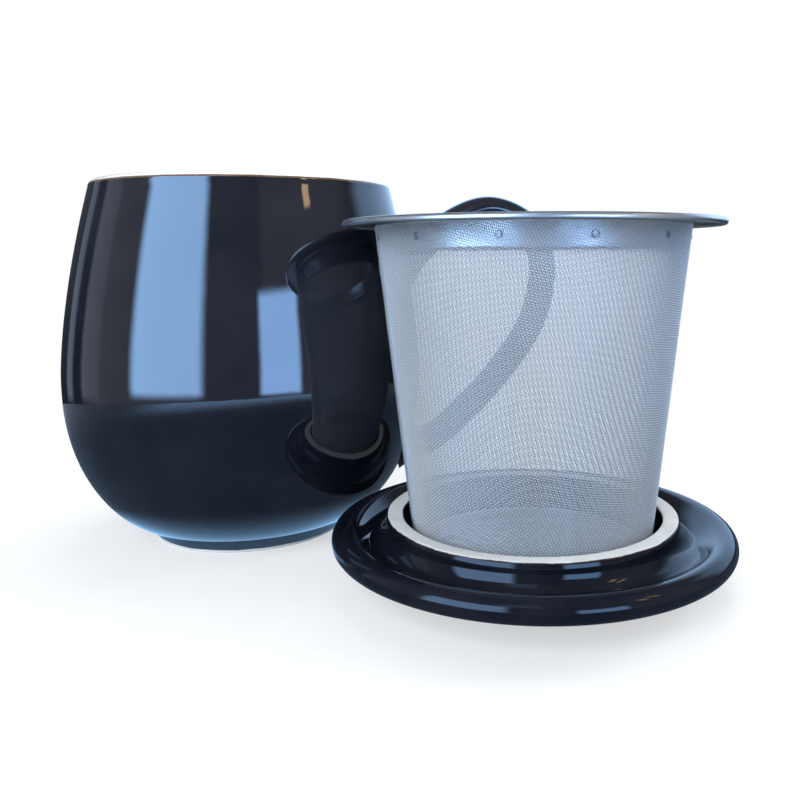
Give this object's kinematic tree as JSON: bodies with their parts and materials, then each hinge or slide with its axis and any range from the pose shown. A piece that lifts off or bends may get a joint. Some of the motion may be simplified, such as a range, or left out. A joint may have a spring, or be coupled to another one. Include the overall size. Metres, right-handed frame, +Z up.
{
  "type": "lidded tea mug with infuser",
  "caption": "Round-bellied glazed mug with an ear handle, a loose lid lying upside down beside it, and a conical wire cloth infuser standing in the lid's ring.",
  "frame": {"origin": "middle of the mug's foot, on the table", "axes": "+Z up; +X to the right and +Y away, as the objects are laid out; the lid and infuser stand 29 degrees from +X towards -Y"},
  "size_m": [0.166, 0.1329, 0.093],
  "materials": {
    "mug_glaze": "glossy near-black glaze outside, white glaze inside and over the lip, bare pale clay under the foot",
    "handle_glaze": "glossy near-black glaze",
    "lid_glaze": "glossy near-black glaze, with bare pale clay on the edge of the ring",
    "sheet_steel": "polished stainless sheet with fine turning marks",
    "wire_cloth": "fine plain-woven stainless wire cloth",
    "hoop_steel": "bright stainless sheet",
    "weld_steel": "flattened spot welds, slightly dulled by heat"
  },
  "bodies": {
    "mug": {"mug_body": "mug_glaze", "mug_handle": "handle_glaze"},
    "lid": {"lid": "lid_glaze"},
    "infuser": {"rim_flange": "sheet_steel", "mesh_wall": "wire_cloth", "mesh_floor": "wire_cloth", "base_hoop": "hoop_steel", "collar_welds": "weld_steel"}
  },
  "joints": [
    {"name": "lid_lift", "type": "slide", "parent": "mug", "child": "lid", "axis": [0.6184, -0.3428, 0.7071], "range_m": [0, 0.14]},
    {"name": "infuser_lift", "type": "slide", "parent": "lid", "child": "infuser", "axis": [0, 0, 1], "range_m": [0, 0.095]}
  ]
}
